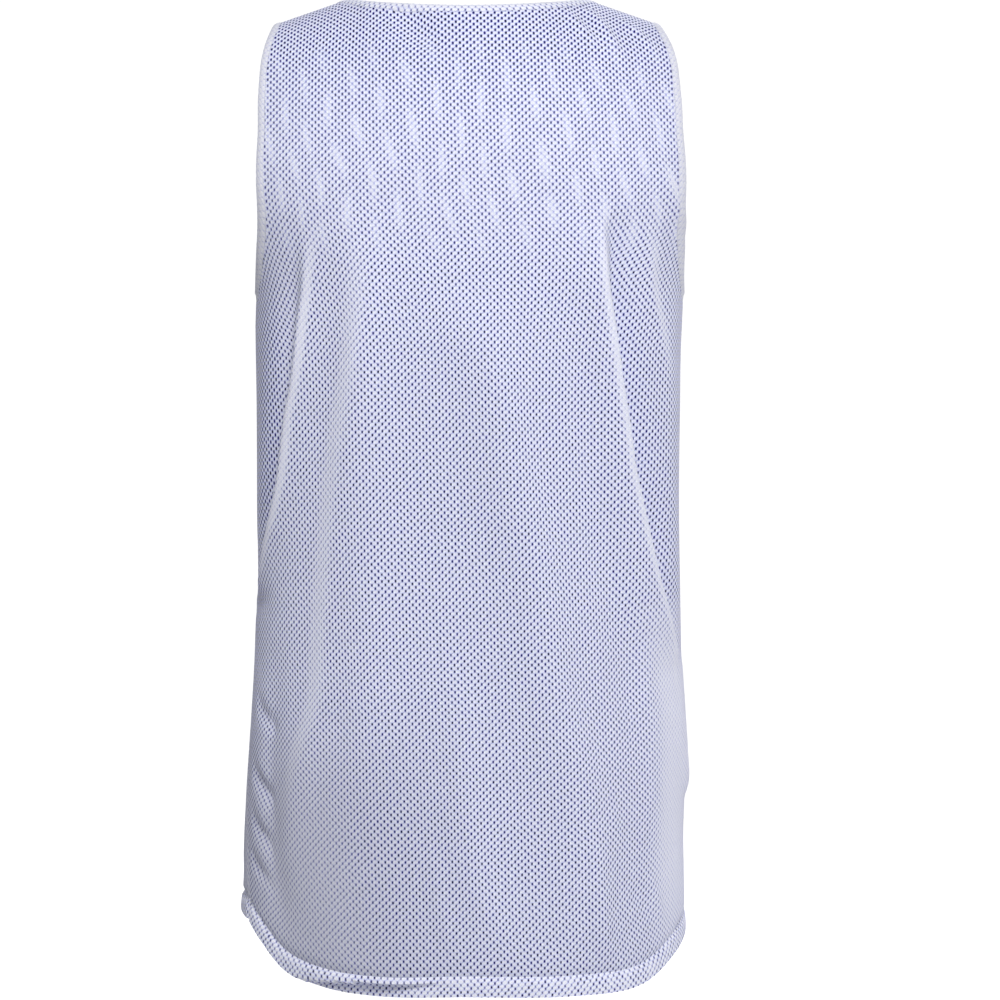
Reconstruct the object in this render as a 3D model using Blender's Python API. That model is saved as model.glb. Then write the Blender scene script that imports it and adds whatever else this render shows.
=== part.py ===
"""Reversible basketball jersey, filled out as if worn.

Frame, in metres: +Z up, the wearer's left is +X and the back faces +Y. The origin lies
midway between the shoulder straps, at the height of the neck points.

The garment is a form made of horizontal rings. Near the top each ring rolls forward over
the shoulders. A place on the form is given by two numbers: sigma, from -1 at the right
edge of a panel to +1 at its left edge, and q, the way down from the top of the shoulders.
"""
from collections import namedtuple

import bmesh
import bpy
import numpy as np

# Driving sizes
NECK_HALF = 0.092            # half of the neck's width, between the neck points
SHOULDER_HALF = 0.141        # half of the width over the outer ends of the straps
SHOULDER_DROP = 0.017        # the straps' outer ends lie lower than the neck points
NECK_BACK = 0.064            # the back neckline's centre lies behind the shoulder line
NECK_SLANT = 0.6             # the back neck band's width as seen from above
NECK_FRONT_DROP = 0.098      # depth of the front neckline
NECK_FRONT_OVAL = 0.75       # 0.5 is an ellipse and 1 a parabola
NECK_RISE = 0.027            # the form goes on rising inside the neck
SEAM_FORWARD = 0.012         # the shoulder seams lie in front of the shoulder line
SHOULDER_ROLL = 0.160        # height over which the cloth rolls over the shoulders
ROLL_LENGTH = 0.206          # way along the cloth in that roll
UNDERARM_Z = -0.215
LEAN = 0.0015                # the shoulders sit a little towards the wearer's left
HEM_BAND = 0.014
EDGE_BAND = 0.006
RING_POWER = 2.3             # 2 is an ellipse, more is squarer
TOP_HALF = 0.190             # half width of the form over the armholes

# Cloth
LAYER = 0.0011
GAP = 0.0003
WALL = 2 * LAYER + GAP

# Mesh density
NECK_COLUMNS = 14
STRAP_COLUMNS = 9
LOW_ROWS = 12
HIGH_ROWS = 14
COLUMNS = NECK_COLUMNS + 2 * STRAP_COLUMNS
ROWS = LOW_ROWS + HIGH_ROWS
SIDE_DENSITY = 0.045         # draws the grid lines together towards the sides
END_DENSITY = 0.095          # and towards the underarm and the shoulder seams
SIGMA_STEP = 1e-3            # steps used to find the directions of the surface
Q_STEP = 2e-4

# A row for each height, from hem to shoulder. half_left and half_right are the form's
# half widths, back and front its depths, seam_left and seam_right the turn round the
# ring, in degrees from the middle of the back, at which the side seams lie.
Section = namedtuple("Section", "z half_left half_right back front seam_left seam_right")
SECTIONS = (
    Section(-0.740, 0.1650, 0.1570, 0.126, 0.120, 70, 98),
    Section(-0.660, 0.1655, 0.1577, 0.125, 0.119, 71, 98),
    Section(-0.600, 0.1640, 0.1572, 0.122, 0.116, 76, 97),
    Section(-0.540, 0.1605, 0.1595, 0.118, 0.112, 85, 96),
    Section(-0.480, 0.1570, 0.1560, 0.114, 0.109, 90, 93),
    Section(-0.400, 0.1555, 0.1537, 0.111, 0.108, 90, 90),
    Section(-0.300, 0.1555, 0.1545, 0.112, 0.112, 90, 90),
    Section(-0.240, 0.1562, 0.1560, 0.112, 0.114, 90, 90),
    Section(-0.215, 0.1562, 0.1580, 0.111, 0.114, 90, 90),
    Section(-0.180, 0.1665, 0.1690, 0.108, 0.112, 90, 90),
    Section(-0.140, 0.1840, 0.1845, 0.105, 0.108, 90, 90),
    Section(-0.090, TOP_HALF, TOP_HALF, 0.102, 0.104, 90, 90),
    Section(0.060, TOP_HALF, TOP_HALF, 0.100, 0.100, 90, 90),
)

# The armhole's edge: how far it lies from the middle of the garment at each height
ArmholeRow = namedtuple("ArmholeRow", "z back_left back_right front_left front_right")
ARMHOLE = (
    ArmholeRow(-0.203, 0.1545, 0.1565, 0.1530, 0.1545),
    ArmholeRow(-0.185, 0.1528, 0.1570, 0.1480, 0.1500),
    ArmholeRow(-0.150, 0.1512, 0.1572, 0.1420, 0.1430),
    ArmholeRow(-0.110, 0.1508, 0.1565, 0.1370, 0.1375),
    ArmholeRow(-0.070, 0.1502, 0.1545, 0.1360, 0.1360),
    ArmholeRow(-0.040, 0.1475, 0.1505, 0.1375, 0.1375),
    ArmholeRow(-SHOULDER_DROP, SHOULDER_HALF, SHOULDER_HALF, SHOULDER_HALF, SHOULDER_HALF),
)
BAND_SLANT = 0.8             # the armhole band's width as seen square to the back
ARMHOLE_CORNER = 0.040       # height of the rounded lower part of the armhole

# The hem's height, from a panel's middle (place 0) to its side seams (place 1)
HemRow = namedtuple("HemRow", "place back_left back_right front_left front_right")
HEM = (
    HemRow(0.00, -0.7150, -0.7150, -0.7000, -0.7000),
    HemRow(0.25, -0.7147, -0.7147, -0.6990, -0.6990),
    HemRow(0.50, -0.7096, -0.7093, -0.6920, -0.6940),
    HemRow(0.70, -0.6993, -0.6915, -0.6745, -0.6835),
    HemRow(0.85, -0.6831, -0.6800, -0.6640, -0.6765),
    HemRow(1.00, -0.6680, -0.6730, -0.6680, -0.6730),
)

# The largest folds. x and z say where a fold's line passes at its top, middle and bottom;
# width is its half width, and height is how far it stands out (a trough is negative).
Fold = namedtuple("Fold", "x_top z_top x_mid z_mid x_low z_low width height")
BACK_FOLDS = (
    Fold(0.116, -0.180, 0.130, -0.290, 0.147, -0.395, 0.010, 0.0060),
    Fold(0.136, -0.200, 0.147, -0.290, 0.154, -0.380, 0.008, -0.0050),
    Fold(0.094, -0.200, 0.100, -0.400, 0.118, -0.620, 0.016, -0.0045),
    Fold(0.078, -0.240, 0.086, -0.430, 0.102, -0.660, 0.014, 0.0035),
    Fold(-0.004, -0.480, -0.006, -0.600, -0.018, -0.700, 0.013, -0.0035),
    Fold(-0.030, -0.230, -0.062, -0.440, -0.100, -0.660, 0.022, 0.0045),
    Fold(-0.086, -0.240, -0.100, -0.380, -0.118, -0.520, 0.012, -0.0040),
    Fold(-0.098, -0.170, -0.118, -0.300, -0.146, -0.450, 0.010, 0.0055),
    Fold(-0.132, -0.200, -0.142, -0.300, -0.150, -0.400, 0.007, -0.0035),
    Fold(0.128, -0.470, 0.134, -0.560, 0.140, -0.660, 0.011, -0.0055),
    Fold(-0.136, -0.520, -0.138, -0.590, -0.142, -0.660, 0.012, 0.0030),
)
FRONT_FOLDS = (
    Fold(0.104, -0.190, 0.122, -0.310, 0.143, -0.430, 0.011, 0.0050),
    Fold(0.084, -0.230, 0.092, -0.420, 0.104, -0.650, 0.016, -0.0040),
    Fold(0.030, -0.330, 0.040, -0.500, 0.056, -0.670, 0.018, 0.0035),
    Fold(-0.020, -0.420, -0.022, -0.560, -0.012, -0.680, 0.014, -0.0030),
    Fold(-0.066, -0.250, -0.078, -0.440, -0.092, -0.650, 0.017, -0.0040),
    Fold(-0.106, -0.190, -0.120, -0.320, -0.141, -0.450, 0.011, 0.0045),
)
FOLDS = {"back": BACK_FOLDS, "front": FRONT_FOLDS}
FOLD_TAPER = 0.050           # way over which a fold fades at its ends
SIDE = {"back": 1.0, "front": -1.0}

Look = namedtuple("Look", "colour roughness")
WHITE_MESH = Look((0.80, 0.81, 0.89), 0.80)
BLUE_MESH = Look((0.030, 0.035, 0.180), 0.80)
WHITE_EDGE = Look((0.84, 0.85, 0.91), 0.75)


# The form

def mix(first, second, share):
    return first + (second - first) * share


def curve_through(z, heights, values):
    """Smooth curve through a table's column, read at the heights z."""
    heights, values = np.array(heights), np.array(values, dtype=float)
    slopes = np.gradient(values, heights)
    k = np.clip(np.searchsorted(heights, z) - 1, 0, len(heights) - 2)
    step = heights[k + 1] - heights[k]
    u = np.clip((z - heights[k]) / step, 0.0, 1.0)
    start = (2 * u**3 - 3 * u**2 + 1) * values[k] + (u**3 - 2 * u**2 + u) * step * slopes[k]
    end = (3 * u**2 - 2 * u**3) * values[k + 1] + (u**3 - u**2) * step * slopes[k + 1]
    return start + end


def section(column, z):
    return curve_through(z, [row.z for row in SECTIONS], [getattr(row, column) for row in SECTIONS])


def armhole_fraction(column, half, z):
    """The armhole edge's place on its ring, as a fraction of the ring's half width."""
    heights = [UNDERARM_Z] + [row.z for row in ARMHOLE]
    fractions = [1.0] + [getattr(row, column) / section(half, row.z) for row in ARMHOLE]
    return curve_through(z, heights, fractions)


def hem_height(column, place):
    return curve_through(place, [row.place for row in HEM], [getattr(row, column) for row in HEM])


def signed_power(value, power=2.0 / RING_POWER):
    return np.sign(value) * np.abs(value) ** power


def smooth_step(value, low, high):
    u = np.clip((value - low) / (high - low), 0.0, 1.0)
    return u * u * (3.0 - 2.0 * u)


def ring_angle(fraction):
    """Turn round a ring at which x is this fraction of the ring's half width."""
    return np.arcsin(np.clip(fraction, 0.0, 1.0) ** (RING_POWER / 2.0))


def strap_angle(inset):
    """Turn round the form's top at the outer end of a strap."""
    return float(ring_angle((SHOULDER_HALF - BAND_SLANT * inset) / TOP_HALF))


def shoulder_x(sigma, inset):
    """x of a column where it crosses the top of the shoulders."""
    return TOP_HALF * signed_power(np.sin(sigma * strap_angle(inset)))


def shoulder_height(sigma, inset):
    x = np.abs(shoulder_x(sigma, inset))
    inside = NECK_RISE * (1.0 - np.clip(x / NECK_HALF, 0.0, 1.0) ** 2) ** 1.3
    slope = SHOULDER_DROP / (SHOULDER_HALF - NECK_HALF)
    return np.where(x < NECK_HALF, inside, -slope * (x - NECK_HALF))


def edge_angle(panel, z, left, inset):
    """Turn round the ring at a panel's side edge: the side seam, or the armhole above it.

    inset widens the armhole, to leave room for the band round it.
    """
    seam = np.radians(np.where(left, section("seam_left", z), section("seam_right", z)))
    if panel == "front":
        seam = np.pi - seam
    bottom = UNDERARM_Z - inset
    height = mix(UNDERARM_Z, -SHOULDER_DROP, (z - bottom) / (-SHOULDER_DROP - bottom))
    fraction = np.where(left, armhole_fraction(f"{panel}_left", "half_left", height),
                        armhole_fraction(f"{panel}_right", "half_right", height))
    clear = np.sqrt(np.clip((height - UNDERARM_Z) / ARMHOLE_CORNER, 0.0, 1.0))
    cut = ring_angle(fraction - BAND_SLANT * inset * clear / TOP_HALF)
    return np.where(z > bottom, cut, seam)


def roll_angle(q):
    """0 on the upright part of the form, a quarter turn on top of the shoulders."""
    return np.maximum(0.5 * np.pi * (1.0 - q / ROLL_LENGTH), 0.0)


def form_height(sigma, q, inset):
    drop = SHOULDER_ROLL * (1.0 - np.sin(roll_angle(q))) + np.maximum(q - ROLL_LENGTH, 0.0)
    return shoulder_height(sigma, inset) - drop


def form(panel, sigma, q, inset, edge=None):
    """Points of the smooth form, without its folds. edge is the turn at the panel's edge."""
    z = form_height(sigma, q, inset)
    if edge is None:
        edge = edge_angle(panel, z, sigma > 0.0, inset)
    half = np.where(sigma > 0.0, section("half_left", z), section("half_right", z))
    turn = sigma * edge
    x = half * signed_power(np.sin(turn)) + LEAN * smooth_step(z, -0.30, 0.0)
    reach = SIDE[panel] * signed_power(np.cos(turn)) * np.cos(roll_angle(q))
    y = reach * np.where(reach > 0.0, section("back", z), section("front", z))
    return np.stack([x, y, z], axis=-1)


def slopes(place, panel, sigma, q, inset):
    """Unit directions along sigma and along q, and the unit normal that faces outwards.

    On the upright part the panel's edge angle is held, as it turns sharply at the underarm.
    """
    here = edge_angle(panel, form_height(sigma, q, inset), sigma > 0.0, inset)
    upright = (q > ROLL_LENGTH)[..., None]

    def step(by_sigma, by_q, edge):
        ahead = place(panel, sigma + by_sigma, q + by_q, inset, edge)
        return ahead - place(panel, sigma - by_sigma, q - by_q, inset, edge)

    across = np.where(upright, step(SIGMA_STEP, 0.0, here), step(SIGMA_STEP, 0.0, None))
    down = np.where(upright, step(0.0, Q_STEP, here), step(0.0, Q_STEP, None))
    return unit(across), unit(down), unit(SIDE[panel] * np.cross(across, down))


def unit(vectors):
    return vectors / np.linalg.norm(vectors, axis=-1, keepdims=True)


def fold_height(panel, x, z):
    height = np.zeros_like(x)
    for fold in FOLDS[panel]:
        line = np.polyfit((fold.z_top, fold.z_mid, fold.z_low), (fold.x_top, fold.x_mid, fold.x_low), 2)
        away = (x - np.polyval(line, z)) / fold.width
        fade = smooth_step(z, fold.z_low - FOLD_TAPER / 2, fold.z_low + FOLD_TAPER / 2)
        fade = fade * (1.0 - smooth_step(z, fold.z_top - FOLD_TAPER / 2, fold.z_top + FOLD_TAPER / 2))
        height += fold.height * fade * np.exp(-away**2)
    return height


def folded(panel, sigma, q, inset, edge=None):
    """Points of the form with its folds."""
    base = form(panel, sigma, q, inset, edge)
    normal = slopes(form, panel, sigma, q, inset)[2]
    edge_fade = 1.0 - np.clip(np.abs(sigma), 0.0, 1.0) ** 10
    height = fold_height(panel, base[..., 0], base[..., 2]) * edge_fade
    return base + normal * height[..., None]


def surface(panel, sigma, q, inset):
    """Points of the garment's outer face, with its directions across, down and out."""
    return folded(panel, sigma, q, inset), *slopes(folded, panel, sigma, q, inset)


# Where the panels end

def hem_q(panel, sigma, inset):
    """q at the hem's lower edge."""
    place = np.abs(sigma)
    z = np.where(sigma > 0.0, hem_height(f"{panel}_left", place), hem_height(f"{panel}_right", place))
    return ROLL_LENGTH + shoulder_height(sigma, inset) - SHOULDER_ROLL - z


def neck_sigma(inset):
    return float(ring_angle((NECK_HALF + inset) / TOP_HALF)) / strap_angle(inset)


def top_q(panel, sigma, inset):
    """q at a panel's top: the neckline in the middle, the shoulder seams beside it."""
    x = np.abs(shoulder_x(sigma, inset))
    inside = np.clip(1.0 - (x / (NECK_HALF + inset)) ** 2, 0.0, 1.0)
    thin = np.cos(sigma * strap_angle(inset)) ** (2.0 / RING_POWER)
    front_depth = section("front", 0.0) * thin
    back_depth = section("back", 0.0) * thin
    seam_roll = np.arccos(-SEAM_FORWARD / front_depth)
    if panel == "back":
        middle_y = NECK_BACK + NECK_SLANT * inset
        y = mix(-SEAM_FORWARD, middle_y, np.sqrt(inside))
        roll = np.arccos(y / np.where(y > 0.0, back_depth, front_depth))
    else:
        seam_z = SHOULDER_ROLL * (np.sin(seam_roll) - 1.0)
        z = mix(seam_z, -NECK_FRONT_DROP - inset, inside**NECK_FRONT_OVAL)
        sine = 1.0 - (shoulder_height(sigma, inset) - z) / SHOULDER_ROLL
        roll = np.minimum(np.arcsin(np.clip(sine, -1.0, 1.0)), np.pi - seam_roll)
    return ROLL_LENGTH * (1.0 - roll / (0.5 * np.pi))


def underarm_q(inset):
    height = float(shoulder_height(1.0, inset))
    return ROLL_LENGTH + height - SHOULDER_ROLL - UNDERARM_Z + inset


# Meshes

def panel_sigma(column, row, inset):
    """sigma of a grid line: at the top the lines meet the neck points, lower they even out."""
    place = column - COLUMNS / 2.0
    neck_end = neck_sigma(inset)
    neck_part = neck_end * np.sin(np.clip(place / (NECK_COLUMNS / 2.0), -1.0, 1.0) * np.pi / 2.0)
    strap_part = np.maximum(np.abs(place) - NECK_COLUMNS / 2.0, 0.0) / STRAP_COLUMNS
    top = neck_part + np.sign(place) * (1.0 - neck_end) * strap_part
    even = 2.0 * place / COLUMNS
    low = even + SIDE_DENSITY * np.sin(np.pi * even)
    share = smooth_step(row, LOW_ROWS, ROWS - 5.0)
    return mix(low, top, share)


def panel_q(panel, sigma, row, inset):
    """q of a grid line: evenly from the hem band to the underarm, then closer at both ends."""
    bottom = hem_q(panel, sigma, inset) - HEM_BAND - GAP
    low = mix(bottom, underarm_q(inset), np.clip(row / LOW_ROWS, 0.0, 1.0))
    high = np.clip((row - LOW_ROWS) / HIGH_ROWS, 0.0, 1.0)
    high = high - END_DENSITY * np.sin(2.0 * np.pi * high)
    return mix(low, top_q(panel, sigma, inset), high)


def seam_inset(column, row, across, down):
    """Moves the panel's edges back from the side seams and the shoulder seams."""
    side = np.where(column == 0, 1.0, np.where(column == COLUMNS, -1.0, 0.0))
    side = side * (row <= LOW_ROWS)
    on_strap = np.abs(column - COLUMNS / 2.0) >= NECK_COLUMNS / 2.0
    top = np.where((row == ROWS) & on_strap, 1.0, 0.0)
    return (across * side[..., None] + down * top[..., None]) * GAP / 2


def grid_indices(columns, rows):
    """A bmesh grid of columns by rows, with each vertex's column and row."""
    mesh = bmesh.new()
    number = mesh.verts.layers.int.new("number")
    bmesh.ops.create_grid(mesh, x_segments=columns, y_segments=rows, size=0.5)
    for place, vertex in enumerate(mesh.verts):
        vertex[number] = place
    places = np.array([vertex.co[:] for vertex in mesh.verts])
    column = np.rint((places[:, 0] + 0.5) * columns)
    row = np.rint((places[:, 1] + 0.5) * rows)
    return mesh, column, row


def wall(name, mesh, outer, normal, near, far, look):
    """Turns an open grid into a wall whose faces lie near and far below the outer points."""
    number = mesh.verts.layers.int["number"]
    for vertex in mesh.verts:
        vertex.co = outer[vertex[number]] - normal[vertex[number]] * near
    bmesh.ops.remove_doubles(mesh, verts=mesh.verts, dist=1e-5)
    made = bmesh.ops.extrude_face_region(mesh, geom=list(mesh.faces))["geom"]
    for item in made:
        if isinstance(item, bmesh.types.BMVert):
            item.co = outer[item[number]] - normal[item[number]] * far
    bmesh.ops.recalc_face_normals(mesh, faces=mesh.faces)
    return finish(name, mesh, look)


def finish(name, mesh, look):
    data = bpy.data.meshes.new(name)
    mesh.to_mesh(data)
    mesh.free()
    data.shade_smooth()
    data.set_sharp_from_angle(angle=np.radians(50.0))
    data.materials.append(material(name, look))
    piece = bpy.data.objects.new(name, data)
    bpy.data.collections["reversible_jersey"].objects.link(piece)
    return piece


def material(name, look):
    surface_look = bpy.data.materials.new(name)
    surface_look.use_nodes = True
    shader = surface_look.node_tree.nodes["Principled BSDF"]
    shader.inputs["Base Color"].default_value = (*look.colour, 1.0)
    shader.inputs["Roughness"].default_value = look.roughness
    shader.inputs["Metallic"].default_value = 0.0
    return surface_look


# Pieces

def build_panel(panel):
    """The two layers of a panel share their grid, so they stay parallel."""
    inset = EDGE_BAND + GAP
    layers = ((f"{panel}_white", 0.0, WHITE_MESH), (f"{panel}_blue", LAYER + GAP, BLUE_MESH))
    for name, near, look in layers:
        mesh, column, row = grid_indices(COLUMNS, ROWS)
        sigma = panel_sigma(column, row, inset)
        points, across, down, normal = surface(panel, sigma, panel_q(panel, sigma, row, inset), inset)
        points = points + seam_inset(column, row, across, down)
        wall(name, mesh, points, normal, near, near + LAYER, look)


def build_hem(panel):
    """The turned hem runs on from the panel with the same grid lines."""
    inset = EDGE_BAND + GAP
    mesh, column, row = grid_indices(COLUMNS, 1)
    sigma = panel_sigma(column, 0.0, inset)
    q = hem_q(panel, sigma, inset) - HEM_BAND * row
    points, across, down, normal = surface(panel, sigma, q, inset)
    points = points + seam_inset(column, row, across, down)
    wall(f"hem_{panel}", mesh, points, normal, 0.0, WALL, WHITE_EDGE)


def build_loop(name, count, stretches):
    """An edge band: a closed strip between an edge and the panels that it finishes.

    stretches gives, for an inset, the (panel, sigma, q) of each stretch of the loop.
    """
    edge_points, edge_normals = band_line(stretches, 0.0)
    inner_points, inner_normals = band_line(stretches, EDGE_BAND)
    mesh, column, row = grid_indices(count, 1)
    place = column.astype(int) % count
    points = mix(edge_points[place], inner_points[place], row[:, None])
    normals = mix(edge_normals[place], inner_normals[place], row[:, None])
    wall(name, mesh, points, normals, 0.0, WALL, WHITE_EDGE)


def band_line(stretches, inset):
    parts = [surface(panel, sigma, q, inset) for panel, sigma, q in stretches(inset)]
    return np.concatenate([part[0] for part in parts]), np.concatenate([part[3] for part in parts])


def neck_stretches(inset):
    place = np.arange(NECK_COLUMNS) / NECK_COLUMNS - 0.5
    sigma = neck_sigma(inset) * np.sin(place * np.pi)
    return ("back", sigma, top_q("back", sigma, inset)), ("front", -sigma, top_q("front", -sigma, inset))


def armhole_stretches(sign):
    """Up the back from the underarm to the shoulder seam, and down the front."""
    rows = LOW_ROWS + np.arange(HIGH_ROWS, dtype=float)
    sigma = np.full(HIGH_ROWS, sign)

    def stretches(inset):
        back = panel_q("back", sigma, rows, inset)
        front = panel_q("front", sigma, rows[::-1] + 1.0, inset)
        return ("back", sigma, back), ("front", sigma, front)

    return stretches


def main():
    for leftover in list(bpy.data.objects):
        bpy.data.objects.remove(leftover, do_unlink=True)
    garment = bpy.data.collections.new("reversible_jersey")
    bpy.context.scene.collection.children.link(garment)
    for panel in ("back", "front"):
        build_panel(panel)
        build_hem(panel)
    build_loop("neck_edge", 2 * NECK_COLUMNS, neck_stretches)
    build_loop("armhole_edge_left", 2 * HIGH_ROWS, armhole_stretches(1.0))
    build_loop("armhole_edge_right", 2 * HIGH_ROWS, armhole_stretches(-1.0))


main()
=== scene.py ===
"""The looks of the reversible basketball jersey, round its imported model.

The cloth follows the same form as the solids: rings from hem to shoulders that roll
forward over the shoulders at the top. A place on it is given by sigma, from -1 at the
right edge of a panel to +1 at its left edge, and q, the way down from the shoulders.
Folds are laid on it by way, the distance round the body from the middle of the back, and
level, the height above the origin measured along the cloth.
"""

from collections import namedtuple

import bmesh
import bpy
import numpy as np
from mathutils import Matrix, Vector


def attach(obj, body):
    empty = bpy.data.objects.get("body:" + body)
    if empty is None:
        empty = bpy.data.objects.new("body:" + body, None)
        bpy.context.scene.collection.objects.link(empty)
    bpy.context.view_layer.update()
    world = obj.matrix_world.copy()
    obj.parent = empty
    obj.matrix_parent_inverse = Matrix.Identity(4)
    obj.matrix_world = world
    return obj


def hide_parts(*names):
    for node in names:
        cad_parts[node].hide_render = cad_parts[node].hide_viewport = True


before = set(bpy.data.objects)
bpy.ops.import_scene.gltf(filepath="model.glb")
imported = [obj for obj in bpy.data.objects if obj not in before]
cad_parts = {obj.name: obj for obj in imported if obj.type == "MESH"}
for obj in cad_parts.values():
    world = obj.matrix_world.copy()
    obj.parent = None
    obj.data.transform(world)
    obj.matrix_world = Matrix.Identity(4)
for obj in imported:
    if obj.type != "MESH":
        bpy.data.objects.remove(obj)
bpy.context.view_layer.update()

# Sizes of the form, as in the solids
NECK_HALF = 0.092
SHOULDER_HALF = 0.141
SHOULDER_DROP = 0.017
NECK_BACK = 0.064
NECK_SLANT = 0.6
NECK_FRONT_DROP = 0.098
NECK_FRONT_OVAL = 0.75
NECK_RISE = 0.027
SEAM_FORWARD = 0.012
SHOULDER_ROLL = 0.160
ROLL_LENGTH = 0.206
UNDERARM_Z = -0.215
LEAN = 0.0015
HEM_BAND = 0.014
EDGE_BAND = 0.006
RING_POWER = 2.3
TOP_HALF = 0.190
BAND_SLANT = 0.8
ARMHOLE_CORNER = 0.040
SIGMA_STEP = 1e-3
Q_STEP = 2e-4
SIDE = {"back": 1.0, "front": -1.0}

Section = namedtuple("Section", "z half_left half_right back front seam_left seam_right")
SECTIONS = (
    Section(-0.740, 0.1650, 0.1570, 0.126, 0.120, 70, 98),
    Section(-0.660, 0.1655, 0.1577, 0.125, 0.119, 71, 98),
    Section(-0.600, 0.1640, 0.1572, 0.122, 0.116, 76, 97),
    Section(-0.540, 0.1605, 0.1595, 0.118, 0.112, 85, 96),
    Section(-0.480, 0.1570, 0.1560, 0.114, 0.109, 90, 93),
    Section(-0.400, 0.1555, 0.1537, 0.111, 0.108, 90, 90),
    Section(-0.300, 0.1555, 0.1545, 0.112, 0.112, 90, 90),
    Section(-0.240, 0.1562, 0.1560, 0.112, 0.114, 90, 90),
    Section(-0.215, 0.1562, 0.1580, 0.111, 0.114, 90, 90),
    Section(-0.180, 0.1665, 0.1690, 0.108, 0.112, 90, 90),
    Section(-0.140, 0.1840, 0.1845, 0.105, 0.108, 90, 90),
    Section(-0.090, TOP_HALF, TOP_HALF, 0.102, 0.104, 90, 90),
    Section(0.060, TOP_HALF, TOP_HALF, 0.100, 0.100, 90, 90),
)

ArmholeRow = namedtuple("ArmholeRow", "z back_left back_right front_left front_right")
ARMHOLE = (
    ArmholeRow(-0.203, 0.1545, 0.1565, 0.1530, 0.1545),
    ArmholeRow(-0.185, 0.1528, 0.1570, 0.1480, 0.1500),
    ArmholeRow(-0.150, 0.1512, 0.1572, 0.1420, 0.1430),
    ArmholeRow(-0.110, 0.1508, 0.1565, 0.1370, 0.1375),
    ArmholeRow(-0.070, 0.1502, 0.1545, 0.1360, 0.1360),
    ArmholeRow(-0.040, 0.1475, 0.1505, 0.1375, 0.1375),
    ArmholeRow(-SHOULDER_DROP, SHOULDER_HALF, SHOULDER_HALF, SHOULDER_HALF, SHOULDER_HALF),
)

HemRow = namedtuple("HemRow", "place back_left back_right front_left front_right")
HEM = (
    HemRow(0.00, -0.7150, -0.7150, -0.7000, -0.7000),
    HemRow(0.25, -0.7152, -0.7155, -0.6990, -0.6990),
    HemRow(0.50, -0.7100, -0.7103, -0.6920, -0.6940),
    HemRow(0.70, -0.6993, -0.6915, -0.6745, -0.6835),
    HemRow(0.85, -0.6831, -0.6800, -0.6640, -0.6765),
    HemRow(1.00, -0.6680, -0.6730, -0.6680, -0.6730),
)

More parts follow.
